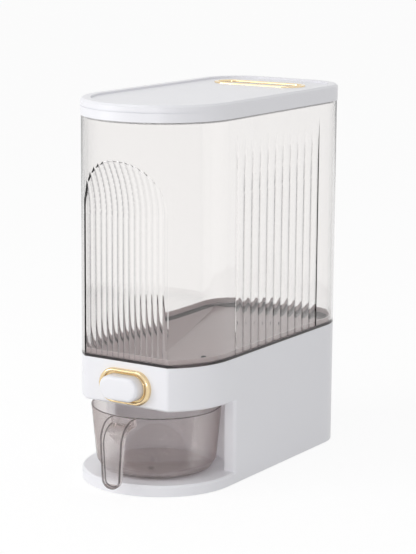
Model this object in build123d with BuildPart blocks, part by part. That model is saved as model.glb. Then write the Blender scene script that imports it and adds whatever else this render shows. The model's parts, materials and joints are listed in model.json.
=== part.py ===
"""Countertop rice dispenser: a clear reeded tank over a white base, a push button that
slides a gate under the hopper, a measuring cup in an open bay, and a lift-off lid.

Millimetres. +Z up, front along -Y, origin under the middle of the whole footprint.
"""

import os
from math import acos, atan2, cos, degrees, pi, radians, sin, sqrt

from build123d import *

os.makedirs("parts", exist_ok=True)

# Overall size
body_width = 165.0
body_depth = 335.0
overall_height = 395.0
rear_corner_radius = 50.0
handle_reach = 20.5

# Heights of the storeys, from the table up
foot_stand = 1.0
plate_height = 12.4
bay_height = 76.1
band_height = 45.0
flange_height = 3.0
lid_height = 17.0

# Walls and fits
wall_inset = 0.6
housing_wall = 2.5
tank_thickness = 2.8
hopper_wall = 2.4
fit_gap = 0.3
slide_gap = 0.25
seat_gap = 0.05
cut_margin = 5.0
pick_margin = 0.01

# Flat front, its reeds and the cove that runs them out under the nose
flat_setback = 18.0
crease_round = 6.0
band_bevel = 1.8
front_reeds = 15
front_reed_depth = 1.2
reed_facets = 3
cove_start = 280.0
cove_radius = 104.0

# Side reeds
side_reeds = 11
side_reed_pitch = 15.0
side_reed_depth = 1.0
side_reed_sink = 0.3
side_reed_middle = 178.0
side_fade_start = 300.0
side_fade_height = 62.0

# Cup bay
pillar_width = 10.0
pillar_offset = 14.0
pillar_round = 4.0
plate_bevel = 2.0

# Underside
cover_thickness = 2.0
foot_width = 14.0
foot_length = 22.0
foot_inset = 24.0
foot_front = 58.0
foot_rear = 48.0
rib_width = 6.0
rib_reach = 8.0
rib_sink = 1.0
rib_height = 26.0
rib_front = 130.0
rib_rear = 45.0
plate_rib_x = 30.0
plate_rib_row = 30.0

# Hopper
outlet_width = 46.0
outlet_length = 11.0
neck_length = 4.0
neck_shoulder = 2.0
lip_height = 5.0
lip_thickness = 1.6

# Gate, its tray and the return springs
tray_floor = 2.4
runner_height = 3.6
runner_width = 4.0
guide_wall = 2.4
chute_drop = 4.0
chute_wall = 2.0
gate_thickness = 2.4
gate_margin = 5.0
gate_overlap = 0.5
upright_thickness = 2.4
upright_width = 34.0
upright_rise = 9.0
seal_thickness = 1.6
seal_lip = 1.5
seat_width = 12.0
seat_height = 8.6
seat_thickness = 2.0
peg_width = 3.6
peg_length = 6.0
spring_spacing = 30.0
spring_length = 38.0
spring_radius = 4.0
spring_turns = 7
spring_sides = 8
wire_width = 0.9

# Button and its bezel
button_height_z = 108.5
button_width = 46.0
button_height = 25.0
button_stand = 15.5
button_bevel = 2.0
button_wall = 2.2
flange_lip = 2.5
flange_thickness = 1.6
bezel_width = 62.0
bezel_height = 36.0
bezel_stand = 4.5
bezel_bevel = 2.0
post_width = 16.0
post_height = 8.0

# Measuring cup
cup_clearance = 5.0
cup_front_gap = 6.5
cup_taper = 6.5
cup_height = 67.6
cup_wall = 2.2
cup_base_round = 12.0
cup_base_steps = 2
cup_turn = 4.8
handle_top_half = 14.5
handle_neck_half = 12.8
handle_end_half = 10.5
handle_end_height = 11.0
handle_depth = 6.0
handle_wall = 2.0
handle_root_depth = 9.0
handle_front_bend = 22.0
handle_back_bend = 17.0
handle_neck_drop = 18.0

# Lid
skirt_wall = 1.6
lid_bevel = 2.2
rim_width = 10.5
panel_drop = 2.0
panel_wall = 2.2
liner_thickness = 1.8
plug_depth = 13.0
plug_wall = 1.6
plug_gap = 0.5
lid_seal_thickness = 1.6
groove_height = 1.2
groove_depth = 1.2
groove_drop = 8.0
groove_swing = 75.0
pull_side_gap = 28.0
pull_width = 36.0
pull_rear_gap = 63.5
trim_width = 4.5
trim_height = 1.4
trim_sink = 1.0
bowl_depth = 14.0
bowl_wall = 1.6

# Places worked out from the sizes above
half_width = body_width / 2
front_y = (handle_reach - body_depth) / 2
rear_y = front_y + body_depth
nose_y = front_y + half_width
flat_y = front_y + flat_setback
pocket_radius = half_width - pillar_width
cup_rim_radius = pocket_radius - cup_clearance
cup_base_radius = cup_rim_radius - cup_taper
cup_y = front_y + cup_front_gap + cup_rim_radius
outlet_y = cup_y
pillar_y = nose_y + pillar_offset
ceiling_z = plate_height + bay_height
ceiling_top = ceiling_z + housing_wall
housing_top = ceiling_z + band_height
tank_bottom = housing_top + flange_height
lid_bottom = overall_height - lid_height
panel_z = overall_height - panel_drop
liner_top = panel_z - panel_wall
liner_bottom = liner_top - liner_thickness
rim_z = liner_bottom - lid_seal_thickness
cover_top = foot_stand + cover_thickness
runner_top = ceiling_top + tray_floor + runner_height
gate_z = runner_top + slide_gap
gate_top = gate_z + gate_thickness
seal_z = gate_top + slide_gap
neck_bottom = seal_z + seal_thickness
neck_top = neck_bottom + neck_length
travel = outlet_length + gate_overlap


def rear_edges(half, corner):
    """Straight sides and rounded rear of the plan."""
    side_end = rear_y - rear_corner_radius
    Line((half, nose_y), (half, side_end))
    CenterArc((half - corner, side_end), corner, 0, 90)
    Line((half - corner, side_end + corner), (corner - half, side_end + corner))
    CenterArc((corner - half, side_end), corner, 90, 90)
    Line((-half, side_end), (-half, nose_y))


def plan(inset):
    """Plan of the body with its full round nose, set in from the lid's edge."""
    half = half_width - inset
    with BuildSketch() as outline:
        with BuildLine():
            CenterArc((0, nose_y), half, 180, 180)
            rear_edges(half, rear_corner_radius - inset)
        make_face()
    return outline.sketch


def flat_plan(inset):
    """Plan of the body with the nose cut flat, set in from the lid's edge."""
    half = half_width - inset
    face_y = flat_y + inset - wall_inset
    chord = sqrt(half**2 - (nose_y - face_y) ** 2)
    swing = degrees(atan2(nose_y - face_y, chord))
    with BuildSketch() as outline:
        with BuildLine():
            Line((-chord, face_y), (chord, face_y))
            CenterArc((0, nose_y), half, -swing, swing)
            rear_edges(half, rear_corner_radius - inset)
            CenterArc((0, nose_y), half, 180, swing)
        make_face()
    return outline.sketch


def bay_plan(grow):
    """Plan of the cup bay: open in front of the pillars, with a round pocket behind."""
    with BuildSketch() as bay:
        with Locations((0, pillar_y + grow)):
            Rectangle(2 * body_width, body_depth, align=(Align.CENTER, Align.MAX))
        with Locations((0, cup_y)):
            Circle(pocket_radius + grow)
    return bay.sketch


def nose_block(face_y):
    """Plan of everything in front of a flat face."""
    with BuildSketch() as block:
        with Locations((0, face_y)):
            Rectangle(2 * body_width, body_depth, align=(Align.CENTER, Align.MAX))
    return block.sketch


def outlet(grow):
    """Slot that the rice falls through."""
    with BuildSketch() as slot:
        with Locations((0, outlet_y)):
            Rectangle(outlet_width + 2 * grow, outlet_length + 2 * grow)
    return slot.sketch


def button_outline(grow):
    """Front view of the button, a stadium."""
    with BuildSketch() as stadium:
        with Locations((0, button_height_z)):
            SlotOverall(button_width + 2 * grow, button_height + 2 * grow)
    return stadium.sketch


def funnel(low_z, grow, high_z, inset):
    """Four flat slopes from the outlet up to the plan, trimmed to the plan's outline."""
    low_x = outlet_width / 2 + grow
    low_y = outlet_length / 2 + grow
    high_x = half_width - inset
    front = (flat_y + inset - wall_inset, high_z)
    rear = (rear_y - inset, high_z)
    with BuildPart() as slopes:
        with BuildSketch(Plane.XZ):
            with BuildLine():
                Polyline((-low_x, low_z), (low_x, low_z), (high_x, high_z), (-high_x, high_z), close=True)
            make_face()
        extrude(amount=body_depth, both=True)
        with BuildSketch(Plane.YZ):
            with BuildLine():
                Polyline((outlet_y - low_y, low_z), (outlet_y + low_y, low_z), rear, front, close=True)
            make_face()
        extrude(amount=body_width, both=True, mode=Mode.INTERSECT)
        with BuildSketch(Plane.XY.offset(low_z)):
            add(flat_plan(inset))
        extrude(amount=high_z - low_z, mode=Mode.INTERSECT)
    return slopes.part


def level_edges(piece, z):
    """Edges of a piece that lie at one height."""
    return piece.edges().filter_by_position(Axis.Z, z - pick_margin, z + pick_margin)


def upright_edges(piece, y):
    """Upright edges of a piece that lie at one distance from the front."""
    return piece.edges().filter_by(Axis.Z).filter_by_position(Axis.Y, y - pick_margin, y + pick_margin)


def reeds(count, pitch, depth, reach):
    """Space in front of a row of convex faceted reeds, which run along the normal of the sketch."""
    edge = count * pitch / 2
    with BuildSketch() as space:
        with BuildLine():
            outline = [(-edge, -reach), (-edge, depth)]
            for i in range(count):
                for facet in range(1, reed_facets + 1):
                    across = facet / reed_facets
                    outline.append(((i + across) * pitch - edge, depth * (2 * across - 1) ** 2))
            Polyline(*outline, (edge, -reach), close=True)
        make_face()
    return space.sketch


def corner_spots(x, rows):
    """Mirrored pairs of places, one pair for each distance behind the front."""
    return [(side * x, front_y + row) for row in rows for side in (-1, 1)]


# Where the ribs, feet and springs stand
wall_rib_x = half_width - wall_inset - housing_wall + (rib_sink - rib_reach) / 2
plate_rib_spots = corner_spots(plate_rib_x, (plate_rib_row,))
wall_rib_spots = corner_spots(wall_rib_x, (rib_front, body_depth - rib_rear))
foot_spots = corner_spots(half_width - foot_inset, (foot_front, body_depth - foot_rear))
spring_spots = [-spring_spacing / 2, spring_spacing / 2]
gate_half = outlet_width / 2 + gate_margin
guide_x = gate_half + slide_gap

# Housing: a thin shell with the cup bay let into its front
with BuildPart() as housing_cavity:
    with BuildSketch(Plane.XY.offset(foot_stand)):
        add(plan(wall_inset + housing_wall))
    extrude(amount=housing_top - foot_stand)
    with BuildSketch(Plane.XY.offset(plate_height - housing_wall)):
        add(bay_plan(housing_wall))
    extrude(amount=bay_height + 2 * housing_wall, mode=Mode.SUBTRACT)
    with BuildSketch(Plane.XY.offset(plate_height - housing_wall)):
        add(nose_block(flat_y + housing_wall))
    extrude(amount=housing_top - plate_height + housing_wall, mode=Mode.SUBTRACT)

with BuildPart() as rear_body:
    with BuildSketch(Plane.XY.offset(foot_stand)):
        add(plan(wall_inset))
        add(bay_plan(0), mode=Mode.SUBTRACT)
    extrude(amount=housing_top - foot_stand)
    corners = upright_edges(rear_body, pillar_y).sort_by(Axis.X)
    fillet([corners[0], corners[-1]], pillar_round)

with BuildPart() as upper_body:
    with BuildSketch(Plane.XY.offset(ceiling_z)):
        add(plan(wall_inset))
        add(nose_block(flat_y), mode=Mode.SUBTRACT)
    extrude(amount=band_height)
    fillet(upright_edges(upper_body, flat_y), crease_round)
    chamfer(level_edges(upper_body, ceiling_z), band_bevel)
    add(rear_body.part)

with BuildPart() as base_housing:
    with BuildSketch(Plane.XY.offset(foot_stand)):
        add(plan(wall_inset))
    extrude(amount=plate_height - foot_stand)
    chamfer(level_edges(base_housing, plate_height), plate_bevel)
    add(upper_body.part)
    add(housing_cavity.part, mode=Mode.SUBTRACT)
    # Ribs that the cover seats on: a pair under the base plate and two pairs along the side walls
    with BuildSketch(Plane.XY.offset(cover_top)):
        with Locations(*plate_rib_spots):
            Rectangle(rib_width, rib_reach)
    extrude(amount=plate_height - housing_wall - cover_top + rib_sink)
    with BuildSketch(Plane.XY.offset(cover_top)):
        with Locations(*wall_rib_spots):
            Rectangle(rib_reach + rib_sink, rib_width)
    extrude(amount=rib_height)
    # Openings for the chute and the button
    with BuildSketch(Plane.XY.offset(ceiling_z)):
        add(outlet(chute_wall + fit_gap))
    extrude(amount=housing_wall, mode=Mode.SUBTRACT)
    with BuildSketch(Plane.XZ.offset(-flat_y)):
        add(button_outline(slide_gap))
    extrude(amount=-housing_wall, mode=Mode.SUBTRACT)

# Cover under the housing, and the feet stuck to it
with BuildPart() as bottom_cover:
    with BuildSketch(Plane.XY.offset(foot_stand)):
        add(plan(wall_inset + housing_wall + fit_gap))
    extrude(amount=cover_thickness)

feet = []
for spot in foot_spots:
    with BuildPart() as foot:
        with BuildSketch():
            with Locations(spot):
                Rectangle(foot_width, foot_length)
        extrude(amount=foot_stand)
    feet.append(foot)

# Hopper: a smoky funnel whose flange shows between the tank and the housing
lip_inset = wall_inset + tank_thickness + fit_gap
funnel_inset = lip_inset + lip_thickness
spigot_inset = wall_inset + housing_wall + fit_gap

with BuildPart() as hopper:
    with BuildSketch(Plane.XY.offset(housing_top)):
        add(flat_plan(wall_inset))
    extrude(amount=flange_height)
    with BuildSketch(Plane.XY.offset(tank_bottom)):
        add(flat_plan(lip_inset))
    extrude(amount=lip_height)
    add(funnel(neck_top - neck_shoulder, hopper_wall, housing_top, spigot_inset))
    with BuildSketch(Plane.XY.offset(neck_bottom)):
        add(outlet(hopper_wall))
    extrude(amount=neck_length - neck_shoulder)
    # Inside: the mouth within the lip, the four slopes, and the neck
    with BuildSketch(Plane.XY.offset(tank_bottom)):
        add(flat_plan(funnel_inset))
    extrude(amount=lip_height, mode=Mode.SUBTRACT)
    add(funnel(neck_top, 0, tank_bottom, funnel_inset), mode=Mode.SUBTRACT)
    with BuildSketch(Plane.XY.offset(neck_bottom)):
        add(outlet(0))
    extrude(amount=neck_length, mode=Mode.SUBTRACT)

# Tank: a clear sleeve with a reeded arch in front and a reeded right side
tank_half = half_width - wall_inset
front_chord = sqrt(tank_half**2 - (nose_y - flat_y) ** 2)
cove_reach = flat_setback + cut_margin
cove_axis = Axis((0, flat_y - cove_radius, cove_start), (1, 0, 0))
cove_turn = degrees(acos(1 - cove_reach / cove_radius))
tank_low = tank_bottom - cut_margin
face_plane = Plane((0, flat_y, tank_low))
cove_plane = Plane((0, flat_y, cove_start))

with BuildPart() as front_cut:
    profile = reeds(front_reeds, 2 * front_chord / front_reeds, front_reed_depth, cove_reach)
    with BuildSketch(face_plane):
        add(profile)
    extrude(amount=cove_start - tank_low)
    with BuildSketch(cove_plane):
        add(profile)
    revolve(axis=cove_axis, revolution_arc=cove_turn)

with BuildPart() as inner_face:
    with BuildSketch(face_plane) as inner_block:
        with Locations((0, tank_thickness)):
            Rectangle(2 * body_width, cove_reach + tank_thickness, align=(Align.CENTER, Align.MAX))
    extrude(amount=cove_start - tank_low)
    with BuildSketch(cove_plane):
        add(inner_block.sketch_local)
    revolve(axis=cove_axis, revolution_arc=cove_turn)

side_fade_radius = side_fade_height**2 / (2 * (side_reed_depth + side_reed_sink))
side_x = tank_half - side_reed_sink
side_y = front_y + side_reed_middle

with BuildPart() as side_cut:
    profile = reeds(side_reeds, side_reed_pitch, side_reed_depth, cut_margin)
    with BuildSketch(Plane((side_x, side_y, tank_low), (0, 1, 0), (0, 0, 1))):
        add(profile)
    extrude(amount=side_fade_start - tank_low)
    with BuildSketch(Plane((side_x, side_y, side_fade_start), (0, 1, 0), (0, 0, 1))):
        add(profile)
    fade_axis = Axis((side_x + side_fade_radius, side_y, side_fade_start), (0, 1, 0))
    revolve(axis=fade_axis, revolution_arc=degrees((side_fade_height + cut_margin) / side_fade_radius))

with BuildPart() as tank_cavity:
    with BuildSketch(Plane.XY.offset(tank_low)):
        add(plan(wall_inset + tank_thickness))
    extrude(amount=overall_height - tank_low)
    add(inner_face.part, mode=Mode.SUBTRACT)

rebate_inset = skirt_wall + fit_gap

with BuildPart() as tank_wall:
    with BuildSketch(Plane.XY.offset(tank_bottom)):
        add(plan(wall_inset))
    extrude(amount=lid_bottom - fit_gap - tank_bottom)
    with BuildSketch(Plane.XY.offset(lid_bottom - fit_gap)):
        add(plan(rebate_inset))
    extrude(amount=rim_z - lid_bottom + fit_gap)
    add(front_cut.part, mode=Mode.SUBTRACT)
    add(side_cut.part, mode=Mode.SUBTRACT)
    add(tank_cavity.part, mode=Mode.SUBTRACT)

# Gate tray: runners, guide walls, a chute through the bay's ceiling and a post for the spring
upright_y = flat_y + housing_wall + fit_gap + flange_thickness
gate_front = upright_y
gate_rear = outlet_y + outlet_length / 2 + hopper_wall + seal_lip + 2 * slide_gap
seat_rear = gate_rear + seat_thickness
post_y = seat_rear + spring_length
spring_z = gate_z + gate_thickness / 2
tray_front = gate_front + upright_thickness
tray_rear = post_y + seat_thickness
tray_length = tray_rear - tray_front
tray_middle = (tray_rear + tray_front) / 2
guide_top = gate_top


def seat_plane(y):
    """Upright plane facing the rear at the spring's height."""
    return Plane((0, y, spring_z), (-1, 0, 0), (0, 1, 0))


with BuildPart() as gate_tray:
    with BuildSketch(Plane.XY.offset(ceiling_top)):
        with Locations((0, tray_middle)):
            Rectangle(2 * (guide_x + guide_wall), tray_length)
    extrude(amount=tray_floor)
    with BuildSketch(Plane.XY.offset(ceiling_top)):
        for side in (-1, 1):
            with Locations((side * (gate_half - runner_width / 2), tray_middle)):
                Rectangle(runner_width, tray_length)
    extrude(amount=runner_top - ceiling_top)
    with BuildSketch(Plane.XY.offset(ceiling_top)):
        for side in (-1, 1):
            with Locations((side * (guide_x + guide_wall / 2), tray_middle)):
                Rectangle(guide_wall, tray_length)
    extrude(amount=guide_top - ceiling_top)
    with BuildSketch(Plane.XY.offset(ceiling_z - chute_drop)):
        add(outlet(chute_wall))
    extrude(amount=runner_top - ceiling_z + chute_drop)
    post_drop = spring_z - ceiling_top
    with BuildSketch(seat_plane(post_y)):
        with Locations(*[(x, (seat_height / 2 - post_drop) / 2) for x in spring_spots]):
            Rectangle(seat_width, seat_height / 2 + post_drop)
    extrude(amount=seat_thickness)
    with BuildSketch(seat_plane(post_y)):
        with Locations(*[(x, 0) for x in spring_spots]):
            Rectangle(peg_width, peg_width)
    extrude(amount=-peg_length)
    with BuildSketch(Plane.XY.offset(ceiling_z - chute_drop)):
        add(outlet(0))
    extrude(amount=runner_top - ceiling_z + chute_drop, mode=Mode.SUBTRACT)

with BuildPart() as outlet_seal:
    with BuildSketch(Plane.XY.offset(seal_z)):
        add(outlet(hopper_wall + seal_lip))
        add(outlet(0), mode=Mode.SUBTRACT)
    extrude(amount=seal_thickness)

# Gate: a plate whose slot waits in front of the outlet until the button is pressed
with BuildPart() as gate_plate:
    with BuildSketch(Plane.XY.offset(gate_z)):
        with Locations((0, gate_front)):
            Rectangle(2 * gate_half, seat_rear - gate_front, align=(Align.CENTER, Align.MIN))
        with Locations((0, outlet_y - travel)):
            Rectangle(outlet_width, outlet_length, mode=Mode.SUBTRACT)
    extrude(amount=gate_thickness)
    with BuildSketch(Plane.XY.offset(gate_z)):
        with Locations((0, upright_y)):
            Rectangle(upright_width, upright_thickness, align=(Align.CENTER, Align.MIN))
    extrude(amount=button_height_z + upright_rise - gate_z)
    with BuildSketch(seat_plane(seat_rear)):
        with Locations(*[(x, 0) for x in spring_spots]):
            Rectangle(seat_width, seat_height)
    extrude(amount=-seat_thickness)
    with BuildSketch(seat_plane(seat_rear)):
        with Locations(*[(x, 0) for x in spring_spots]):
            Rectangle(peg_width, peg_width)
    extrude(amount=peg_length)

# Return springs between the gate and the tray's posts, each a coil of short straight runs
coil_steps = spring_turns * spring_sides
coil_start = seat_rear + seat_gap + wire_width / 2
coil_length = spring_length - 2 * seat_gap - wire_width


def coil_point(x, step):
    """Place along a spring's wire, so many steps from the gate's end."""
    turn = 2 * pi * step / spring_sides
    y = coil_start + coil_length * step / coil_steps
    return (x + spring_radius * cos(turn), y, spring_z + spring_radius * sin(turn))


springs = []
for x in spring_spots:
    with BuildPart() as spring:
        with BuildLine() as coil:
            Polyline(*[coil_point(x, step) for step in range(coil_steps + 1)])
        with BuildSketch(Plane(coil.line @ 0, z_dir=coil.line % 0)):
            Rectangle(wire_width, wire_width)
        sweep(transition=Transition.RIGHT)
    springs.append(spring)

# Button: a cored cap held behind the wall by its flange, with a post that pushes the gate
button_front = flat_y - button_stand

with BuildPart() as button_cap:
    with BuildSketch(Plane.XZ.offset(-upright_y)):
        add(button_outline(0))
    extrude(amount=upright_y - button_front)
    chamfer(button_cap.faces().sort_by(Axis.Y)[0].edges(), button_bevel)
    with BuildSketch(Plane.XZ.offset(-upright_y)):
        add(button_outline(flange_lip))
    extrude(amount=flange_thickness)
    with BuildSketch(Plane.XZ.offset(-upright_y)):
        with Locations((0, button_height_z)):
            Rectangle(button_width - button_height, button_height - 2 * button_wall)
            Rectangle(post_width, post_height, mode=Mode.SUBTRACT)
    extrude(amount=upright_y - button_front - button_wall, mode=Mode.SUBTRACT)

with BuildPart() as button_bezel:
    with BuildSketch(Plane.XZ.offset(-flat_y)):
        with Locations((0, button_height_z)):
            SlotOverall(bezel_width, bezel_height)
        add(button_outline(slide_gap), mode=Mode.SUBTRACT)
    extrude(amount=bezel_stand)
    chamfer(button_bezel.faces().sort_by(Axis.Y)[0].outer_wire().edges(), bezel_bevel)

# Measuring cup: a round tapered bowl with a trough-shaped handle hung from its rim
cup_axis = Axis((0, cup_y, 0), (0, 0, 1))
cup_plane = Plane((0, cup_y, plate_height), (1, 0, 0), (0, -1, 0))
rim_top = plate_height + cup_height
handle_radius = cup_y - front_y + handle_reach
handle_radius = (handle_radius - handle_neck_half * sin(radians(cup_turn))) / cos(radians(cup_turn))
handle_y = cup_y - handle_radius
arm_end = cup_y - cup_base_radius
bend_y = handle_y + handle_depth + handle_back_bend
bend_z = rim_top - handle_root_depth - handle_back_bend
front_bend_y = handle_y + handle_front_bend
front_bend_z = rim_top - handle_front_bend
neck_z = rim_top - handle_neck_drop
end_z = handle_end_height + handle_end_half


def handle_face(inset):
    """Front view of the handle: a rounded end, a slow taper and a flare up to the rim."""
    top = (handle_top_half - inset, rim_top + cut_margin)
    neck = (handle_neck_half - inset, neck_z)
    end = (handle_end_half - inset, end_z)
    with BuildSketch() as face:
        with BuildLine():
            CenterArc((0, end_z), handle_end_half - inset, -90, 90)
            side = Line(end, neck)
            TangentArc(neck, top, tangent=side % 1)
            Line(top, (0, top[1]))
            mirror(about=Plane.YZ)
        make_face()
    return face.sketch


with BuildPart() as handle_form:
    back_y = bend_y - handle_back_bend
    with BuildSketch(Plane.YZ):
        with BuildLine():
            Polyline((handle_y, front_bend_z), (handle_y, 0), (back_y, 0), (back_y, bend_z))
            CenterArc((bend_y, bend_z), handle_back_bend, 90, 90)
            arm_low = bend_z + handle_back_bend
            Polyline((bend_y, arm_low), (arm_end, arm_low), (arm_end, rim_top), (front_bend_y, rim_top))
            CenterArc((front_bend_y, front_bend_z), handle_front_bend, 90, 90)
        make_face()
    extrude(amount=handle_top_half, both=True)
    with BuildSketch(Plane.XZ):
        add(handle_face(0))
    extrude(amount=body_depth, mode=Mode.INTERSECT)

with BuildPart() as handle_trough:
    trough_bend = handle_back_bend + handle_wall
    trough_back = bend_y - trough_bend
    trough_front = handle_y - cut_margin
    trough_top = rim_top + cut_margin
    trough_low = bend_z + trough_bend
    trough_end = cup_y - cup_rim_radius
    with BuildSketch(Plane.YZ):
        with BuildLine():
            Polyline((bend_y, trough_low), (trough_end, trough_low), (trough_end, trough_top))
            Polyline((trough_end, trough_top), (trough_front, trough_top), (trough_front, 0))
            Polyline((trough_front, 0), (trough_back, 0), (trough_back, bend_z))
            CenterArc((bend_y, bend_z), trough_bend, 90, 90)
        make_face()
    extrude(amount=handle_top_half, both=True)
    with BuildSketch(Plane.XZ):
        add(handle_face(handle_wall))
    extrude(amount=body_depth, mode=Mode.INTERSECT)

with BuildPart() as cup_handle:
    add(handle_form.part)
    add(handle_trough.part, mode=Mode.SUBTRACT)


def cup_section(inset):
    """Half of the cup's upright section, its base edge rounded in equal turns."""
    corner = cup_base_round - inset
    base = cup_base_radius - inset
    rim = cup_rim_radius - inset
    turns = [radians(90 * i / cup_base_steps) for i in range(cup_base_steps)]
    edge = [(base - corner + corner * sin(t), cup_base_round - corner * cos(t)) for t in turns]
    wall_start = (base + (rim - base) * cup_base_round / cup_height, cup_base_round)
    with BuildSketch() as section:
        with BuildLine():
            Polyline((0, inset), *edge, wall_start, (rim, cup_height), (0, cup_height), close=True)
        make_face()
    return section.sketch


with BuildPart() as measuring_cup:
    with BuildSketch(cup_plane):
        add(cup_section(0))
    revolve(axis=cup_axis)
    add(cup_handle.part.rotate(cup_axis, cup_turn))
    with BuildSketch(cup_plane):
        add(cup_section(cup_wall))
    revolve(axis=cup_axis, mode=Mode.SUBTRACT)

# Lid: a shell with a sunk panel, a finger bowl at the rear and a lift groove round its nose
pull_y = rear_y - pull_rear_gap
pull_length = body_width - 2 * pull_side_gap
bowl_length = pull_length - 2 * trim_width
bowl_width = pull_width - 2 * trim_width
bowl_z = panel_z - bowl_depth
groove_z = overall_height - groove_drop
groove_shift = groove_depth / (1 - cos(radians(groove_swing)))
groove_radius = half_width - groove_depth + groove_shift

with BuildPart() as lid_cover:
    with BuildSketch(Plane.XY.offset(lid_bottom)):
        add(plan(0))
    extrude(amount=lid_height)
    chamfer(level_edges(lid_cover, overall_height), lid_bevel)
    with BuildSketch(Plane.XY.offset(panel_z)):
        add(plan(rim_width))
    extrude(amount=panel_drop, mode=Mode.SUBTRACT)
    with BuildSketch(Plane.XY.offset(lid_bottom)):
        add(plan(skirt_wall))
    extrude(amount=liner_top - lid_bottom, mode=Mode.SUBTRACT)
    with BuildSketch(Plane.XY.offset(groove_z)):
        with Locations((0, nose_y)):
            Circle(half_width + cut_margin)
        with Locations((0, nose_y + groove_shift)):
            Circle(groove_radius, mode=Mode.SUBTRACT)
        with Locations((0, nose_y)):
            Rectangle(2 * body_width, body_width, align=(Align.CENTER, Align.MIN), mode=Mode.SUBTRACT)
    extrude(amount=groove_height, mode=Mode.SUBTRACT)
    with BuildSketch(Plane.XY.offset(bowl_z - bowl_wall)):
        with Locations((0, pull_y)):
            SlotOverall(bowl_length + 2 * bowl_wall, bowl_width + 2 * bowl_wall)
    extrude(amount=panel_z - panel_wall / 2 - bowl_z + bowl_wall)
    with BuildSketch(Plane.XY.offset(bowl_z)):
        with Locations((0, pull_y)):
            SlotOverall(bowl_length, bowl_width)
    extrude(amount=bowl_depth, mode=Mode.SUBTRACT)
    with BuildSketch(Plane.XY.offset(panel_z - trim_sink)):
        with Locations((0, pull_y)):
            SlotOverall(pull_length + 2 * seat_gap, pull_width + 2 * seat_gap)
    extrude(amount=trim_sink, mode=Mode.SUBTRACT)

with BuildPart() as pull_trim:
    with BuildSketch(Plane.XY.offset(panel_z - trim_sink)):
        with Locations((0, pull_y)):
            SlotOverall(pull_length, pull_width)
            SlotOverall(bowl_length, bowl_width, mode=Mode.SUBTRACT)
    extrude(amount=trim_sink + trim_height)

plug_inset = wall_inset + tank_thickness + plug_gap
bowl_room = bowl_wall + fit_gap

with BuildPart() as lid_liner:
    with BuildSketch(Plane.XY.offset(liner_bottom)):
        add(plan(skirt_wall + fit_gap))
        with Locations((0, pull_y)):
            SlotOverall(bowl_length + 2 * bowl_room, bowl_width + 2 * bowl_room, mode=Mode.SUBTRACT)
    extrude(amount=liner_thickness)
    with BuildSketch(Plane.XY.offset(liner_bottom - plug_depth)):
        add(plan(plug_inset))
        add(plan(plug_inset + plug_wall), mode=Mode.SUBTRACT)
    extrude(amount=plug_depth)

with BuildPart() as lid_seal:
    with BuildSketch(Plane.XY.offset(rim_z)):
        add(plan(rebate_inset))
        add(plan(plug_inset - seat_gap), mode=Mode.SUBTRACT)
    extrude(amount=lid_seal_thickness)

pieces = {
    "base_housing": base_housing,
    "bottom_cover": bottom_cover,
    "hopper": hopper,
    "tank_wall": tank_wall,
    "outlet_seal": outlet_seal,
    "gate_tray": gate_tray,
    "gate_plate": gate_plate,
    "button_cap": button_cap,
    "button_bezel": button_bezel,
    "measuring_cup": measuring_cup,
    "lid_cover": lid_cover,
    "pull_trim": pull_trim,
    "lid_liner": lid_liner,
    "lid_seal": lid_seal,
}
pieces.update({f"rubber_foot_{i}": foot for i, foot in enumerate(feet, 1)})
pieces.update({f"return_spring_{i}": spring for i, spring in enumerate(springs, 1)})
for name, piece in pieces.items():
    piece.part.label = name
    export_step(piece.part, f"parts/{name}.step")
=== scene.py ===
# %% [markdown]
# # A countertop rice dispenser
# A clear tank with reeded walls stands on a white base. A button in the base slides a gate under the
# tank's hopper, and the rice falls into a smoky cup that stands in an open bay. The solids come from
# the imported model, in metres, so this file only has to dress, light and photograph them. The dressed
# one must not outgrow it.

# %% Load the imported model
import json
from math import cos, pi, radians, sin

import bmesh
import bpy
from mathutils import Matrix, Vector


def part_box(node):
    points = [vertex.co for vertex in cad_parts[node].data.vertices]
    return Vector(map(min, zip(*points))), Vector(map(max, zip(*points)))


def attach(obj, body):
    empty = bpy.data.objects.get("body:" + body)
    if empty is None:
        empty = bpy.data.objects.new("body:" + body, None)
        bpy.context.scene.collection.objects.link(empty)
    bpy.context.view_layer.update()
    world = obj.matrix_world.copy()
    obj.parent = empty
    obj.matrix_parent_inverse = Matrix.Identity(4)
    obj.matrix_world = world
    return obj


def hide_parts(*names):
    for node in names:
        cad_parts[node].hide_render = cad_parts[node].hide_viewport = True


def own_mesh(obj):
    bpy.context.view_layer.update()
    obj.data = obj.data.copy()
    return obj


MM = 0.001
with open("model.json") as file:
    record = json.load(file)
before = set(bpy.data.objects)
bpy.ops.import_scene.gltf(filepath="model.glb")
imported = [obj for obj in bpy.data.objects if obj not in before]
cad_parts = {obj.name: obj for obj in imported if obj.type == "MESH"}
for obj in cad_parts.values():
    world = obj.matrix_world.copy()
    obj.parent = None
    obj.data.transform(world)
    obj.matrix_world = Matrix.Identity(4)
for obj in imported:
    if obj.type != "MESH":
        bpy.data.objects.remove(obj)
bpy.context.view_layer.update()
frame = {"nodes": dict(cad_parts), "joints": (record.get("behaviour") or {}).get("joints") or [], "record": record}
nodes = frame["nodes"]

# %% [markdown]
# ## Writing finishes
# A finish is a small network of nodes. Written with Blender's own calls it is long and hard to read, so
# helpers stand in front of them. `Socket` is a node's output that can be added and multiplied like a
# number, and each sum adds a Math node. `Recipe` is a network with one method that adds any other node.
# `Finish` is the recipe of a material that ends in one Principled shader.


# %% Sockets with arithmetic
def feed(place, value):
    """Link a Socket to an input, or set the input to a plain value."""
    if isinstance(value, Socket):
        place.id_data.links.new(value.socket, place)
    else:
        place.default_value = value


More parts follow.
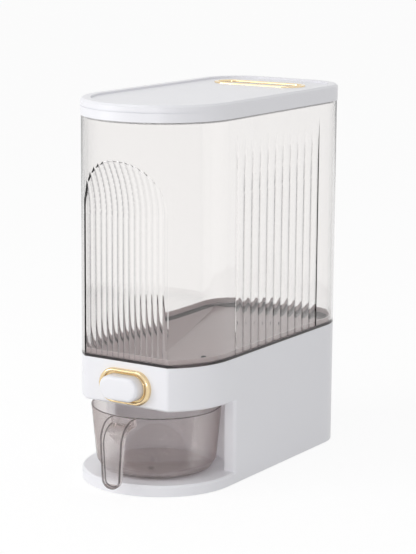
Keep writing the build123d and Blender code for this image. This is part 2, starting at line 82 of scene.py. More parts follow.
class Socket:
    """The output of a node, with arithmetic that adds Math nodes."""

    def __init__(self, socket):
        self.socket = socket

    def math(self, operation, other):
        """Add a Math node on this output and another one or a number."""
        node = self.socket.id_data.nodes.new("ShaderNodeMath")
        node.operation = operation
        feed(node.inputs[0], self)
        feed(node.inputs[1], other)
        return Socket(node.outputs[0])

    def __add__(self, other):
        return self.math("ADD", other)

    def __mul__(self, other):
        return self.math("MULTIPLY", other)

    def __pow__(self, other):
        return self.math("POWER", other)

    def __gt__(self, other):
        return self.math("GREATER_THAN", other)

    def __lt__(self, other):
        return self.math("LESS_THAN", other)

    def larger(self, other):
        return self.math("MAXIMUM", other)

    __radd__ = __add__
    __rmul__ = __mul__


# %% Recipes and finishes
class Recipe:
    """The node network of a material or of the world."""

    def __init__(self, owner):
        owner.use_nodes = True
        self.tree = owner.node_tree

    def node(self, kind, settings, sockets, result=0):
        """Add a node: its settings first, then the values or links of its sockets."""
        node = self.tree.nodes.new("ShaderNode" + kind)
        for name, value in settings.items():
            setattr(node, name, value)
        for name, value in sockets.items():
            feed(node.inputs[name], value)
        return Socket(node.outputs[result])

    def noise(self, scale, detail=2.0, stretch=(1, 1, 1)):
        """Soft grey clouds about 1/scale metres across."""
        place = self.node("TexCoord", {}, {}, "Object")
        place = self.node("Mapping", {}, {"Vector": place, "Scale": stretch})
        return self.node("TexNoise", {}, {"Vector": place, "Scale": scale, "Detail": detail})

    def between(self, amount, first, second):
        """Colour between two colours, from a Mix node, whose colour sockets go by numbers."""
        return self.node("Mix", {"data_type": "RGBA"}, {0: amount, 6: first, 7: second}, 2)


class Finish(Recipe):
    """A material that ends in one Principled shader."""

    def __init__(self, name):
        self.material = bpy.data.materials.new(name)
        super().__init__(self.material)
        self.shader = self.tree.nodes["Principled BSDF"]
        self.output = self.tree.nodes["Material Output"]

    def set(self, **values):
        """Set the shader's sockets by name, with _ for a space."""
        for name, value in values.items():
            feed(self.shader.inputs[name.replace("_", " ")], value)

    def bump(self, height, distance):
        """Raise the surface by a share of a distance in metres."""
        self.set(Normal=self.node("Bump", {}, {"Height": height, "Distance": distance}))


# %% [markdown]
# ## White moulded plastic
# The base, the lid and the button are glossy white ABS. It isn't one flat colour: the moulding leaves a
# very fine orange peel that softens reflections, handling leaves faint scuffs that dull the gloss, and
# the white drifts a little from place to place. The same recipe in other colours gives the milky inner
# pieces, the silicone seals and the rubber feet.

# %% Opaque plastics and rubber
DRIFT_SCALE, SCUFF_SCALE, GLOSS_SCALE, PEEL_SCALE = 9.0, 45.0, 60.0, 1400.0  # clouds in a metre
SCUFF_LEVEL, SCUFF_DULLNESS, GLOSS_CHANGE = 0.62, 0.05, 0.08


def moulded(name, light, dark, roughness, peel):
    """Opaque moulded plastic whose colour, gloss and surface drift a little."""
    finish = Finish(name)
    scuffs = finish.noise(SCUFF_SCALE, detail=6.0, stretch=(1, 1, 3)) > SCUFF_LEVEL
    dullness = finish.noise(GLOSS_SCALE) * GLOSS_CHANGE + scuffs * SCUFF_DULLNESS
    finish.set(
        Base_Color=finish.between(finish.noise(DRIFT_SCALE), light, dark),
        Roughness=dullness + (roughness - GLOSS_CHANGE / 2),
    )
    finish.bump(finish.noise(PEEL_SCALE, detail=1.0), peel)
    return finish.material


shell_white = moulded("shell_white", (0.9, 0.9, 0.935, 1), (0.88, 0.88, 0.915, 1), 0.3, 0.02 * MM)
inner_white = moulded("inner_white", (0.82, 0.82, 0.82, 1), (0.78, 0.78, 0.79, 1), 0.5, 0.04 * MM)
seal_silicone = moulded("seal_silicone", (0.7, 0.7, 0.69, 1), (0.64, 0.64, 0.63, 1), 0.6, 0.05 * MM)
foot_rubber = moulded("foot_rubber", (0.04, 0.04, 0.042, 1), (0.025, 0.025, 0.025, 1), 0.75, 0.1 * MM)
print("opaque finishes:", shell_white.name, inner_white.name, seal_silicone.name, foot_rubber.name)

# %% [markdown]
# ## Clear plastic
# The tank is clear, so the shader lets light through and bends it. A real wall takes up some light at
# each face and in its body, so what is seen through it is a little grey, and an edge that is looked along
# is darker: a Layer Weight node deepens the tint where the surface turns away. The grooves of the reeds
# get painted shade: fine dark lines painted on the mesh further down, as an attribute named `line`, and a
# power keeps them thin. Where a wall is given little body, part of the light also goes straight through
# it, as it seems to through a thin one.

# %% Clear plastics
PLASTIC_IOR = 1.49
THINNING, EDGE_DARKNESS = 3.0, 0.85
HAZE_SCALE, HAZE_CHANGE = 40.0, 0.02
WAVE_SCALE, WAVE_HEIGHT = 60.0, 0.03 * MM


def painted_shade_line(finish):
    """How strongly a dark line of painted shade lies on the mesh, from 0 to 1."""
    return finish.node("Attribute", {"attribute_name": "line"}, {}, "Fac")


def see_through(name, face, edge, tint, density, roughness, body=1.0):
    """See-through plastic, tinted by its thickness, with dark edges and lines of painted shade."""
    finish = Finish(name)
    turned = finish.node("LayerWeight", {}, {"Blend": 0.5}, "Facing") ** THINNING
    # the edges that turn away darken, and so do the lines of painted shade, towards the colour edge
    dark = (turned * EDGE_DARKNESS).larger(painted_shade_line(finish) ** THINNING)
    finish.set(
        Base_Color=finish.between(dark, face, edge),
        Roughness=finish.noise(HAZE_SCALE) * HAZE_CHANGE + roughness,
        Transmission_Weight=1.0,
        IOR=PLASTIC_IOR,
    )
    if body < 1:
        finish.set(Alpha=dark * (1 - body) + body)
    finish.bump(finish.noise(WAVE_SCALE, detail=1.0, stretch=(1, 1, 0.25)), WAVE_HEIGHT)
    volume = finish.node("VolumeAbsorption", {}, {"Color": tint, "Density": density})
    feed(finish.output.inputs["Volume"], volume)
    return finish


tank_clear = see_through(
    "tank_clear",
    face=(0.97, 0.96, 0.953, 1),
    # the colour of the dark edges and of the painted shade in the grooves
    edge=(0.12, 0.12, 0.14, 1),
    tint=(0.84, 0.8, 0.77, 1),
    density=10.0,
    roughness=0.01,
).material
print("clear finish:", tank_clear.name)

# %% [markdown]
# ## Smoky plastic
# The hopper and the cup are tinted brown in their body. They are also cloudy, so they scatter some of the
# light: the hopper's slopes look evenly brown, and only the side of its rim, which is looked along between
# the tank and the base, is a dark line of painted shade. The cup is nearly clear but for its textured
# floor. So a cloudy shader is mixed into the clear one, by an amount that changes with height, and lines
# and a band of painted shade turn the cloud dark.

# %% Smoky plastics
CLOUD_SCALE, CLOUD_ROUGHNESS = 14.0, 0.25
# The colour of painted shade, in the painted lines and in the band on the hopper's rim.
SHADE_LINE_COLOUR = (0.04, 0.034, 0.036, 1)


def cloudy(finish, heights, inside, outside, light, dark, depth=0.0):
    """Mix cloudiness into a clear finish, with painted shade in its lines. A band of heights has its own amount
    and its own depth of painted shade.
    """
    place = finish.node("TexCoord", {}, {}, "Object")
    height = finish.node("SeparateXYZ", {}, {"Vector": place}, "Z")
    band = (height > heights[0]) * (height < heights[1])
    amount = band * (inside - outside) + outside
    colour = finish.between(finish.noise(CLOUD_SCALE), light, dark)
    # painted shade: the painted lines, and the band by its depth, turn the cloud's colour dark
    colour = finish.between(painted_shade_line(finish).larger(band * depth), colour, SHADE_LINE_COLOUR)
    cloud = finish.node("BsdfPrincipled", {}, {"Base Color": colour, "Roughness": CLOUD_ROUGHNESS})
    clear = Socket(finish.shader.outputs[0])
    mixed = finish.node("MixShader", {}, {0: amount, 1: clear, 2: cloud})
    feed(finish.output.inputs["Surface"], mixed)
    return finish.material


WHITE = (1, 1, 1, 1)
HOPPER_RIM, CUP_FLOOR = (133.6 * MM, 136.4 * MM), (12.0 * MM, 15.0 * MM)
smoke = see_through("hopper_smoky", WHITE, (0.2, 0.18, 0.18, 1), (0.64, 0.57, 0.58, 1), 420.0, 0.05)
light, dark = (0.75, 0.628, 0.632, 1), (0.7, 0.588, 0.592, 1)
# the side of the hopper's rim gets painted shade in full
hopper_smoky = cloudy(smoke, HOPPER_RIM, 0.45, 0.75, light, dark, depth=1.0)
# the cup's edge colour is also that of the painted shade on its rim, handle edges and mark
smoke = see_through("cup_smoky", WHITE, (0.1, 0.09, 0.095, 1), (0.76, 0.6, 0.56, 1), 60.0, 0.02, 0.4)
light, dark = (0.7, 0.6, 0.59, 1), (0.66, 0.56, 0.55, 1)
cup_smoky = cloudy(smoke, CUP_FLOOR, 0.5, 0.03, light, dark)
print("smoky finishes:", hopper_smoky.name, cup_smoky.name)

# %% [markdown]
# ## Gold plating and steel
# The rings round the button and the finger bowl are plated in pale gold, so they mirror what is round
# them. Fine polishing marks break up the mirror. The springs and screws are bright steel.

# %% Metals
TARNISH_SCALE, POLISH_SCALE, GRAIN_SCALE = 70.0, 300.0, 900.0
GRAIN_HEIGHT = 0.01 * MM


def plated(name, light, dark, roughness, marks):
    """Polished metal with fine marks in its gloss."""
    finish = Finish(name)
    finish.set(
        Metallic=1.0,
        Base_Color=finish.between(finish.noise(TARNISH_SCALE), light, dark),
        Roughness=finish.noise(POLISH_SCALE) * marks + roughness,
    )
    finish.bump(finish.noise(GRAIN_SCALE), GRAIN_HEIGHT)
    return finish.material


pale_gold = plated("pale_gold", (0.86, 0.7, 0.44, 1), (0.78, 0.6, 0.35, 1), 0.1, 0.08)
bright_steel = plated("bright_steel", (0.62, 0.62, 0.64, 1), (0.5, 0.5, 0.52, 1), 0.25, 0.2)
print("metals:", pale_gold.name, bright_steel.name)

# %% [markdown]
# ## Dressing the solids
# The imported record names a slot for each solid, such as `white_plastic`, and each slot gets one of the
# finishes above. Solids that stay as they are need nothing more. New pieces are dressed in the same way
# further down, so that a piece and the solid it stands for always match.

# %% Dress the solids
finishes = {
    "white_plastic": shell_white,
    "inner_plastic": inner_white,
    "clear_plastic": tank_clear,
    "smoky_plastic": hopper_smoky,
    "cup_plastic": cup_smoky,
    "gold_trim": pale_gold,
    "silicone": seal_silicone,
    "spring_steel": bright_steel,
    "foot_rubber": foot_rubber,
}
slot_of = {part["node"]: part["material_slot"] for part in frame["record"]["subparts"]}


def dress(piece, slot):
    """Give a piece the finish of a slot, in place of any it has."""
    piece.data.materials.clear()
    piece.data.materials.append(finishes[slot])


for name, node in nodes.items():
    dress(node, slot_of[name])
print("dressed", len(nodes), "nodes")

# %% [markdown]
# ## Working on a mesh as by hand
# An operator acts on what is selected, so every piece starts with nothing selected, and points, edges and
# faces are picked in code by their place. A finished piece sits at the origin with its place in its mesh,
# rides on a body, and stands for the node that it replaces.

# %% Helpers for modelling
SELECT_MODES = {"verts": "VERT", "edges": "EDGE", "faces": "FACE"}
SMOOTH_ANGLE = 35


def clear_selection():
    """Deselect every object."""
    bpy.ops.object.select_all(action="DESELECT")


def pick(kind, test):
    """Select the points, edges or faces of the mesh in edit mode that pass a test."""
    mesh = bpy.context.edit_object.data
    bpy.ops.mesh.select_mode(type=SELECT_MODES[kind])
    bpy.ops.mesh.select_all(action="DESELECT")
    form = bmesh.from_edit_mesh(mesh)
    form.verts.index_update()
    chosen = [item for item in getattr(form, kind) if test(item)]
    for item in chosen:
        item.select_set(True)
    form.select_flush_mode()
    bmesh.update_edit_mesh(mesh)
    return len(chosen)


def close_shell():
    """Point all faces of the mesh in edit mode outwards."""
    bpy.ops.mesh.select_all(action="SELECT")
    bpy.ops.mesh.normals_make_consistent(inside=False)


def finish_piece(piece, name, body, slot, replaced=(), angle=SMOOTH_ANGLE):
    """Apply a piece's place, shade it, and tie it to its body."""
    if bpy.context.mode != "OBJECT":
        bpy.ops.object.mode_set(mode="OBJECT")
    clear_selection()
    piece.select_set(True)
    bpy.context.view_layer.objects.active = piece
    piece.name = piece.data.name = name
    bpy.ops.object.transform_apply(location=True, rotation=True, scale=True)
    bpy.ops.object.shade_smooth_by_angle(angle=radians(angle), keep_sharp_edges=True)
    dress(piece, slot)
    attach(piece, body)
    if replaced:
        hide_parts(*replaced)
    clear_selection()
    print(name, len(piece.data.polygons), "faces")


# %% [markdown]
# ## Gold rings
# Both rings are stadiums: a circle whose halves are pulled apart. The model's rings have plain edges. The
# real ones are rounded like a wedding band and catch the light along their crown, and the one round the
# button has a fine groove inside its bead. So a ring is drawn as a row of outlines, from its hole to its
# outer edge and each at its own height, and neighbours are bridged. Outlines that are ready are hidden
# while the next one is pulled, so that only that one moves.

# %% Stadiums and rings
ROUND = 96


def stadium(width, depth, height=0.0):
    """Add a flat stadium outline to the mesh in edit mode, or start a new mesh with it."""
    bpy.ops.mesh.primitive_circle_add(vertices=ROUND, radius=depth / 2)
    bpy.ops.object.mode_set(mode="EDIT")
    bpy.ops.transform.rotate(value=pi / ROUND, orient_axis="Z", center_override=(0, 0, 0))
    for side in (-1, 1):
        pick("verts", lambda point: side * point.co.x > 0)
        bpy.ops.transform.translate(value=(side * (width - depth) / 2, 0, 0))
    bpy.ops.mesh.select_all(action="SELECT")
    bpy.ops.transform.translate(value=(0, 0, height))


def ring(outline, hole, height, profile):
    """A flat-lying ring. Its profile gives shares of the way from the hole out, and of the height."""
    clear_selection()
    for out, rise in profile:
        sides = [inner + out * (outer - inner) for outer, inner in zip(outline, hole)]
        stadium(*sides, rise * height)
        bpy.ops.mesh.hide()
    bpy.ops.mesh.reveal()
    for first in range(len(profile)):
        pair = (first, (first + 1) % len(profile))
        pick("verts", lambda point: point.index // ROUND in pair)
        bpy.ops.mesh.bridge_edge_loops()
    close_shell()
    bpy.ops.object.mode_set(mode="OBJECT")
    return bpy.context.active_object


# %% The ring round the button
FLANGE = 2.5 * MM
GAP = 0.25 * MM
LIP = [(0, 0), (0, 0.56), (0.05, 0.64), (0.15, 0.64), (0.2, 0.58)]
GROOVE = [(0.22, 0.3), (0.34, 0.3)]
BEAD_INSIDE = [(0.37, 0.7), (0.44, 0.88), (0.54, 0.98), (0.66, 1)]
BEAD_OUTSIDE = [(0.8, 0.95), (0.91, 0.8), (0.98, 0.56), (1, 0.3), (1, 0)]
cap_low, cap_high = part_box("button_cap")
button_size = [cap_high.x - cap_low.x - 2 * FLANGE, cap_high.z - cap_low.z - 2 * FLANGE]
button_z = (cap_low.z + cap_high.z) / 2
low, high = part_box("button_bezel")
outline = (high.x - low.x, high.z - low.z)
hole = [side + 2 * GAP for side in button_size]
profile = LIP + GROOVE + BEAD_INSIDE + BEAD_OUTSIDE
button_ring = ring(outline, hole, high.y - low.y, profile)
button_ring.location = (0, high.y, button_z)
button_ring.rotation_euler = (pi / 2, 0, 0)
finish_piece(button_ring, "button_ring", "base", "gold_trim", ["button_bezel"])

# %% The ring round the finger bowl
TRIM = 4.5 * MM
BAND_INSIDE = [(0, 0), (0, 0.7), (0.04, 0.87), (0.12, 0.97), (0.25, 1)]
BAND_OUTSIDE = [(0.75, 1), (0.88, 0.97), (0.96, 0.87), (1, 0.7), (1, 0)]
low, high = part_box("pull_trim")
outline = (high.x - low.x, high.y - low.y)
hole = [side - 2 * TRIM for side in outline]
bowl_ring = ring(outline, hole, high.z - low.z, BAND_INSIDE + BAND_OUTSIDE)
bowl_ring.location = (0, (low.y + high.y) / 2, low.z)
finish_piece(bowl_ring, "bowl_ring", "lid", "gold_trim", ["pull_trim"])

# %% [markdown]
# ## The button
# A thumb pushes the button in its middle, so its front edge is rounded over several millimetres. The
# model only has a plain chamfer there. Behind the wall a flange keeps the button from falling out, and
# the back is cored, as moulded plastic is, with a post left standing that pushes the gate. The cap is a
# stadium that is extruded, inset and extruded again, and blocks cut from the back leave the post.

# %% The outside of the button
FLANGE_DEPTH = 1.6 * MM
ROUNDING, ROUNDING_STEPS = 3.6 * MM, 10
SHARP = 1.0  # radians
TINY = 0.001 * MM


def lift(height):
    """Extrude the selected faces upwards."""
    bpy.ops.mesh.extrude_region_move(TRANSFORM_OT_translate={"value": (0, 0, height)})


cap_depth = cap_high.y - cap_low.y
clear_selection()
stadium(*[side + 2 * FLANGE for side in button_size])
bpy.ops.mesh.edge_face_add()
lift(FLANGE_DEPTH)
bpy.ops.mesh.inset(thickness=FLANGE)
lift(cap_depth - FLANGE_DEPTH)
close_shell()
top = cap_depth - TINY
pick("edges", lambda e: min(p.co.z for p in e.verts) > top and e.calc_face_angle(0) > SHARP)
bpy.ops.mesh.bevel(offset=ROUNDING, segments=ROUNDING_STEPS, affect="EDGES")
bpy.ops.object.mode_set(mode="OBJECT")
push_button = bpy.context.active_object
print("the cap is", round(cap_depth / MM, 2), "mm deep")

# %% The core of the button
WALL, CROWN = 2.2 * MM, 2.0 * MM
POST_WIDTH, POST_HEIGHT = 16.0 * MM, 8.0 * MM


def carve(piece, size, place, turn=0.0):
    """Cut a block out of a piece."""
    clear_selection()
    bpy.ops.mesh.primitive_cube_add(size=1, location=place, rotation=(0, 0, turn), scale=size)
    block = bpy.context.active_object
    bpy.context.view_layer.objects.active = piece
    cut = piece.modifiers.new("cut", "BOOLEAN")
    cut.object = block
    bpy.ops.object.modifier_apply(modifier=cut.name)
    bpy.data.objects.remove(block)


core_width, core_height = button_size[0] - button_size[1], button_size[1] - 2 * WALL
core_depth = cap_depth - WALL - CROWN
for side in (-1, 1):
    strip = (core_height - POST_HEIGHT) / 2
    carve(push_button, (core_width, strip, 2 * core_depth), (0, side * (POST_HEIGHT + strip) / 2, 0))
    strip = (core_width - POST_WIDTH) / 2
    carve(push_button, (strip, core_height, 2 * core_depth), (side * (POST_WIDTH + strip) / 2, 0, 0))
push_button.location = (0, cap_high.y, button_z)
push_button.rotation_euler = (pi / 2, 0, 0)
finish_piece(push_button, "push_button", "button", "white_plastic", ["button_cap"])

# %% [markdown]
# ## Smooth copies of the tank and the cup
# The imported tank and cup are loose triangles, and their curves are a few flat facets. On clear plastic
# every facet would show as a prism. A copy of each has its corners merged and is shaded smooth wherever
# neighbouring faces turn only a little. A Weighted Normal modifier lets large flat faces keep their own
# direction, or small bends beside them would tilt their shading.

# %% Merged copies
MERGED = 0.002 * MM


def merged_copy(node, name):
    """A selected copy of a node, with merged corners, in edit mode."""
    clear_selection()
    piece = bpy.data.objects.new(name, nodes[node].data.copy())
    bpy.context.scene.collection.objects.link(piece)
    piece.select_set(True)
    bpy.context.view_layer.objects.active = piece
    if piece.data.has_custom_normals:
        bpy.ops.mesh.customdata_custom_splitnormals_clear()
    bpy.ops.object.mode_set(mode="EDIT")
    bpy.ops.mesh.select_all(action="SELECT")
    bpy.ops.mesh.remove_doubles(threshold=MERGED)
    bpy.ops.mesh.mark_sharp(clear=True)
    return piece


def steady_normals(piece):
    """Let large faces decide the shading of their corners."""
    bpy.context.view_layer.objects.active = piece
    steady = piece.modifiers.new("steady", "WEIGHTED_NORMAL")
    steady.keep_sharp = True
    steady.weight = 100
    bpy.ops.object.modifier_apply(modifier=steady.name)


# %% [markdown]
# ## Finding the tank's lines
# The grooves between the reeds stay crisp. They are the hollow edges of the tank's outer front and side,
# so a test finds them by their place and by the angle between their faces, which is negative in a
# hollow. The outline of the arch is found in the same way, but it stands out instead.

# %% Grooves and the outline
FRONT_DEPTH, SIDE_DEPTH = 19.0 * MM, 2.1 * MM
ARCH_TOP, SAME = 345.0 * MM, 0.01 * MM
GROOVE_ANGLE, OUTLINE_ANGLE = radians(-12), radians(28)
LEANING, SIDEWAYS = -0.1, 0.9  # parts of a normal of length 1
tank_low, tank_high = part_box("tank_wall")


def on_side(point):
    """Whether a point is on the reeded side of the tank."""
    return point.x > tank_high.x - SIDE_DEPTH


def on_front(point):
    """Whether a point is on the outer front of the tank."""
    return point.y < tank_low.y + FRONT_DEPTH


def is_groove(edge):
    """Whether an edge is a hollow one between two reeds of the outer front or side."""
    one, other = [p.co for p in edge.verts]
    front = on_front(one) and on_front(other) and abs(one.x - other.x) < SAME
    side = on_side(one) and on_side(other) and abs(one.y - other.y) < SAME
    return (front or side) and edge.calc_face_angle_signed(0) < GROOVE_ANGLE


def is_outline(edge):
    """Whether an edge is on the outline of the arch, between its foot and its top."""
    if not all(on_front(p.co) for p in edge.verts):
        return False
    inside = tank_low.z + MM < max(p.co.z for p in edge.verts) < ARCH_TOP
    return inside and edge.calc_face_angle_signed(0) > OUTLINE_ANGLE


def in_arch(face):
    """Whether a face beside the outline is inside it: it leans out, or is the small step at its side."""
    return face.normal.z < LEANING or abs(face.normal.x) > SIDEWAYS


print("the tank's foot is at", round(tank_low.z / MM, 2), "mm")

# %% [markdown]
# ## Painting shade into lines
# A groove or an edge of clear plastic is darker than the wall beside it, and here that shade is painted. A
# colour on whole faces would be too wide, so the attribute `line` of painted shade goes on the corners of
# the faces that meet at an edge, and fades from there into each face. It also fades upwards on the side,
# as the reeds do, and to the right on the front.

# %% Painted shade for lines
REEDS_FADE, REEDS_FOOT, REEDS_END = (300.0 * MM, 420.0 * MM), 140.0 * MM, 100.0 * MM
FOOT_STRENGTH, END_STRENGTH = 0.75, 0.4
ARCH_FADE, OUTLINE_FADE = (0.0, 65.0 * MM), (-46.0 * MM, 14.0 * MM)


def paint_shade_lines(piece, strength, fits=lambda face: True):
    """Paint shade along the selected edges by a rule on points, on corners of the faces beside them that fit."""
    form = bmesh.from_edit_mesh(piece.data)
    layers = form.loops.layers.float
    paint = layers.get("line") or layers.new("line")
    for edge in [edge for edge in form.edges if edge.select]:
        for loop in [loop for face in edge.link_faces if fits(face) for loop in face.loops]:
            if loop.vert in edge.verts:
                loop[paint] = strength(loop.vert.co)
    bmesh.update_edit_mesh(piece.data)


def fading(along, fade):
    """1 up to the start of a stretch, falling to 0 at its end."""
    return 1 - min(max(along - fade[0], 0) / (fade[1] - fade[0]), 1)


def groove_shade_strength(point):
    """Fading to the right on the front, upwards on the side, and weaker at the side's foot and rear."""
    if not on_side(point):
        return fading(point.x, ARCH_FADE)
    if point.y > REEDS_END:
        return END_STRENGTH
    return FOOT_STRENGTH if point.z < REEDS_FOOT else fading(point.z, REEDS_FADE)


def outline_shade_strength(point):
    """Fading to the right, where the arch runs out into the nose."""
    return fading(point.x, OUTLINE_FADE)


# %% [markdown]
# ## The tank
# Now the copy is made and its lines are found, kept sharp and painted with dark shade. On the right,
# where the arch runs out into the nose, the small step at the end of the reeds can't be seen, so it is
# drawn flat first.

# %% The tank
STEP_X, STEP, FLATTENED = 50.3 * MM, (17.4 * MM, 18.8 * MM), 0.1
TANK_SMOOTH_ANGLE = 28
step_low, step_high = [tank_low.y + depth for depth in STEP]
tank = merged_copy("tank_wall", "tank")
pick("verts", lambda p: p.co.x > STEP_X and step_low < p.co.y < step_high)
bpy.ops.transform.resize(value=(1, FLATTENED, 1), center_override=(0, step_low, 0))
print("the tank has", pick("edges", is_groove), "groove edges")
bpy.ops.mesh.mark_sharp()
# painted shade along the grooves
paint_shade_lines(tank, groove_shade_strength)
print("and its arch", pick("edges", is_outline), "outline edges")
# painted shade on the faces inside the arch's outline
paint_shade_lines(tank, outline_shade_strength, in_arch)
finish_piece(tank, "reeded_tank", "base", "clear_plastic", ["tank_wall"], TANK_SMOOTH_ANGLE)
steady_normals(tank)

# %% [markdown]
# ## The cup
# The cup's rim and the edges of its handle are rounded a little, as moulded edges are. They are looked
# along, so they get painted shade as dark lines too. They are the sharp edges at the top and outside the
# bowl. The faces between them are made whole first, so that the bevel has clean sides, and its faces are
# painted with that shade.

# %% The cup
CUP_REACH, RIM, EASE = 70.0 * MM, 1.0 * MM, 0.8 * MM
FLAT, CUP_SMOOTH_ANGLE = radians(0.5), 50
cup = merged_copy("measuring_cup", "cup")
low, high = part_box("measuring_cup")
cup_middle = Vector(((low.x + high.x) / 2, high.y - (high.x - low.x) / 2))


def is_eased(edge):
    """Whether an edge is a sharp one of the handle or the rim."""
    handle = min((p.co.xy - cup_middle).length for p in edge.verts) > CUP_REACH
    rim = min(p.co.z for p in edge.verts) > high.z - RIM
    return (handle or rim) and edge.calc_face_angle(0) > radians(CUP_SMOOTH_ANGLE)


bpy.ops.mesh.dissolve_limited(angle_limit=FLAT)
print("the cup has", pick("edges", is_eased), "edges to ease")
bpy.ops.mesh.bevel(offset=EASE, segments=2, affect="EDGES", clamp_overlap=False)
# the bevel's faces get painted shade in full
paint_shade_lines(cup, lambda point: 1.0, lambda face: face.select)
close_shell()
finish_piece(cup, "smoky_cup", "cup", "cup_plastic", ["measuring_cup"], CUP_SMOOTH_ANGLE)
steady_normals(cup)

# %% [markdown]
# ## Moulding marks
# Plastic enters a mould through small gates, and each leaves a round mark with a dimple. Two are on the
# hopper's long slope and one is on the cup's floor. A mark is a small disc whose top is inset and pushed
# in, with a soft rim, and is painted dark with shade like the grooves. It is turned to the surface that a
# ray from above meets, so that it lies on it.

# %% One mark
MARK_SIDES, MARK_RADIUS, MARK_DEPTH = 24, 2.8 * MM, 2.0 * MM
MARK_RIM, DIMPLE, MARK_EASE = 1.0 * MM, 0.7 * MM, 0.2 * MM
UPRIGHT = 0.9  # part of a normal of length 1
BENT = 0.3  # radians
AT_END = 0.49  # share of the depth, from the middle
clear_selection()
bpy.ops.mesh.primitive_cylinder_add(vertices=MARK_SIDES, radius=MARK_RADIUS, depth=MARK_DEPTH)
bpy.ops.object.mode_set(mode="EDIT")
pick("faces", lambda face: face.normal.z > UPRIGHT)
bpy.ops.mesh.inset(thickness=MARK_RIM)
bpy.ops.transform.translate(value=(0, 0, -DIMPLE))
top = AT_END * MARK_DEPTH
pick("edges", lambda e: min(p.co.z for p in e.verts) > top and e.calc_face_angle(0) > BENT)
bpy.ops.mesh.bevel(offset=MARK_EASE, segments=2, affect="EDGES")
mark = bpy.context.active_object
bpy.ops.mesh.select_all(action="SELECT")
# the whole mark is painted shade
paint_shade_lines(mark, lambda point: 1.0)
bpy.ops.object.mode_set(mode="OBJECT")
print("a mark has", len(mark.data.polygons), "faces")

# %% Marks in their places
MARKS = {
    "hopper_mark_1": (nodes["hopper"], "base", "smoky_plastic", (10.2, -10.0, 136.0)),
    "hopper_mark_2": (nodes["hopper"], "base", "smoky_plastic", (10.2, 110.1, 136.0)),
    "cup_mark": (cup, "cup", "cup_plastic", (7.2, -104.0, 60.0)),
}
bpy.context.view_layer.update()
for name, (carrier, body, slot, place) in MARKS.items():
    _, spot, normal, _ = carrier.ray_cast(Vector(place) * MM, Vector((0, 0, -1)))
    copy = bpy.data.objects.new(name, mark.data.copy())
    bpy.context.scene.collection.objects.link(copy)
    copy.location = spot + normal * MARK_DEPTH / 2
    copy.rotation_euler = normal.to_track_quat("Z", "Y").to_euler()
    finish_piece(copy, name, body, slot)
bpy.data.objects.remove(mark)

# %% [markdown]
# ## Return springs
# Two compression springs push the gate shut. The model's coils are octagonal, so here each is wound from
# round wire: a small circle, one coil radius out, is screwed round the axis by a modifier and its ends
# are closed. When the button is pressed the gate comes back by the button's travel, and the share of a
# spring's length that this leaves is worked out.

# %% Springs
TURNS, TURN_STEPS = 7, 28
WIRE, WIRE_SIDES = 1.0 * MM, 12
press = next(joint for joint in frame["joints"] if joint["name"] == "button_press")
travel = press["range_m"][1]
for node in ("return_spring_1", "return_spring_2"):
    low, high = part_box(node)
    middle, length = (low + high) / 2, high.y - low.y
    clear_selection()
    bpy.ops.mesh.primitive_circle_add(vertices=WIRE_SIDES, radius=WIRE / 2)
    bpy.ops.object.mode_set(mode="EDIT")
    bpy.ops.transform.translate(value=((high.z - low.z - WIRE) / 2, 0, 0))
    bpy.ops.object.mode_set(mode="OBJECT")
    spring = bpy.context.active_object
    winding = spring.modifiers.new("winding", "SCREW")
    winding.axis = "Y"
    winding.iterations = TURNS
    winding.screw_offset = (length - WIRE) / TURNS
    winding.steps = winding.render_steps = TURN_STEPS
    bpy.ops.object.modifier_apply(modifier=winding.name)
    bpy.ops.object.mode_set(mode="EDIT")
    bpy.ops.mesh.select_all(action="SELECT")
    bpy.ops.mesh.remove_doubles(threshold=TINY)
    bpy.ops.mesh.fill_holes(sides=0)
    close_shell()
    spring.location = (middle.x, low.y + WIRE / 2, middle.z)
    name = node.replace("return", "wound")
    finish_piece(spring, name, "base", "spring_steel", [node])
    1 - travel / length
    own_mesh(spring)

# %% [markdown]
# ## Screws under the base
# Six screws hold the cover to the ribs inside the base. One is modelled, with a rounded rim and a cross
# cut into its head, and copied to the other places. The heads stay clear of the table, because the feet
# lift the base.

# %% Screws
HEAD_SIDES, HEAD_RADIUS, HEAD_DEPTH = 40, 2.6 * MM, 0.7 * MM
HEAD_EASE, CROSS = 0.35 * MM, (3.0 * MM, 0.6 * MM, 0.8 * MM)
SCREW_SPOTS = [(30.0, -127.25), (75.9, -27.25), (75.9, 132.75)]
cover_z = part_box("bottom_cover")[0].z
clear_selection()
bpy.ops.mesh.primitive_cylinder_add(vertices=HEAD_SIDES, radius=HEAD_RADIUS, depth=HEAD_DEPTH)
bpy.ops.object.mode_set(mode="EDIT")
pick("edges", lambda e: max(p.co.z for p in e.verts) < -AT_END * HEAD_DEPTH)
bpy.ops.mesh.bevel(offset=HEAD_EASE, segments=4, affect="EDGES")
bpy.ops.object.mode_set(mode="OBJECT")
screw = bpy.context.active_object
for turn in (0, pi / 2):
    carve(screw, CROSS, (0, 0, -HEAD_DEPTH / 2), turn)
head_z = cover_z - HEAD_DEPTH / 2
places = [(side * x * MM, y * MM, head_z) for x, y in SCREW_SPOTS for side in (-1, 1)]
for number, place in enumerate(places, 1):
    copy = bpy.data.objects.new("screw", screw.data.copy())
    bpy.context.scene.collection.objects.link(copy)
    copy.location = place
    finish_piece(copy, f"cover_screw_{number}", "base", "spring_steel")
bpy.data.objects.remove(screw)

# %% [markdown]
# ## Camera
# The photograph was taken from the front right, a little above, through a long lens. The angles and the
# distance below put the corners of the model on the corners in the picture. The roll is the small tilt
# of the camera.

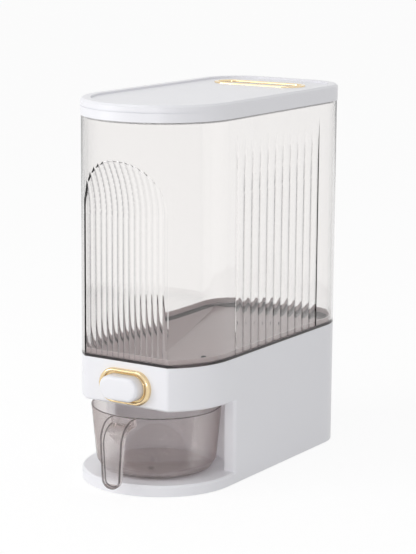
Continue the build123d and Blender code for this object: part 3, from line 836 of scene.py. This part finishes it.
# %% Camera
AZIMUTH, ELEVATION, ROLL = radians(32.54), radians(11.04), radians(0.42)
DISTANCE = 2.13709
AIM = Vector((0.0, 0.01025, 0.1975))
SHIFT_RIGHT, SHIFT_UP = 0.00176, -0.00084
LENS = 131.06
back = Vector((sin(AZIMUTH) * cos(ELEVATION), -cos(AZIMUTH) * cos(ELEVATION), sin(ELEVATION)))
level = Vector((cos(AZIMUTH), sin(AZIMUTH), 0.0))
upward = back.cross(level)
right = cos(ROLL) * level + sin(ROLL) * upward
up = cos(ROLL) * upward - sin(ROLL) * level
eye = AIM + SHIFT_RIGHT * level + SHIFT_UP * upward + DISTANCE * back
camera_data = bpy.data.cameras.new("camera")
camera_data.lens = LENS
camera = bpy.data.objects.new("camera", camera_data)
camera.matrix_world = Matrix.Translation(eye) @ Matrix((right, up, back)).transposed().to_4x4()
bpy.context.scene.collection.objects.link(camera)
bpy.context.scene.camera = camera
print("camera at", [round(x, 3) for x in eye])

# %% [markdown]
# ## Backdrop
# The picture is a product shot on white. The world is white where the camera, a reflection or a view
# through plastic meets it, and dimmer as a light, so that the white plastic keeps its shades.


# %% Backdrop
def seen_directly(recipe):
    """1 where the eye, a reflection or a view through plastic meets the surface, otherwise 0."""
    kinds = ("Camera", "Glossy", "Transmission")
    eye_ray, mirrored, passed = [recipe.node("LightPath", {}, {}, f"Is {kind} Ray") for kind in kinds]
    return eye_ray.larger(mirrored).larger(passed)


WORLD_LIGHT = 0.57
world = bpy.data.worlds.new("studio")
bpy.context.scene.world = world
studio = Recipe(world)
backdrop = studio.tree.nodes["Background"]
feed(backdrop.inputs["Color"], WHITE)
feed(backdrop.inputs["Strength"], seen_directly(studio) * (1 - WORLD_LIGHT) + WORLD_LIGHT)
print("the world lights with", WORLD_LIGHT, "of white")

# %% [markdown]
# ## Floor
# The object stands on a pale floor. For the eye it glows just enough to be white, by a glow that is mixed
# into its plain surface. The rest of the mix keeps the shadow of the base.

# %% Floor
FLOOR_SIZE, FLOOR_DRIFT = 40.0, 3.0
GLOW, GLOW_SHARE = 1.07, 0.8
clear_selection()
bpy.ops.mesh.primitive_plane_add(size=FLOOR_SIZE, location=(0, 0, 0))
floor = bpy.context.active_object
floor.name = "floor"
ground = Finish("floor_white")
ground.set(
    Base_Color=ground.between(ground.noise(FLOOR_DRIFT), (0.9, 0.9, 0.9, 1), (0.88, 0.88, 0.88, 1)),
    Roughness=0.8,
)
glow = ground.node("Emission", {}, {"Strength": GLOW})
lit = Socket(ground.shader.outputs[0])
share = seen_directly(ground) * GLOW_SHARE
mixed = ground.node("MixShader", {}, {0: share, 1: lit, 2: glow})
feed(ground.output.inputs["Surface"], mixed)
floor.data.materials.append(ground.material)
print("floor", FLOOR_SIZE, "m wide")

# %% [markdown]
# ## Lamps
# A large soft lamp in front on the left makes the front faces the brightest and leaves the right side in
# soft shade. Two low ones reach into the bay under the button, and one above lights the lid. They stand
# high enough that the round front of the tank doesn't mirror them.

# %% Lamps
MIDDLE, BAY, LID_FRONT = (0, 0, 0.2), (0, -0.1, 0.06), (0, -0.1, 0.39)


def softbox(name, place, aim, size, power):
    """A square lamp turned to face a point."""
    data = bpy.data.lights.new(name, "AREA")
    data.size = size
    data.energy = power
    lamp = bpy.data.objects.new(name, data)
    lamp.location = place
    lamp.rotation_euler = (Vector(place) - Vector(aim)).to_track_quat("Z", "Y").to_euler()
    bpy.context.scene.collection.objects.link(lamp)


softbox("key", (-1.4, -1.9, 1.1), MIDDLE, size=1.2, power=5.5)
softbox("low_left", (-1.5, -1.5, 0.5), BAY, size=0.5, power=5.5)
softbox("low_right", (0.9, -2.1, 0.5), BAY, size=0.5, power=6.0)
softbox("top", (-0.35, -0.9, 1.7), LID_FRONT, size=0.9, power=5.0)
bpy.context.scene.view_settings.view_transform = "Standard"
print("lit by the world and", len(bpy.data.lights), "softboxes")
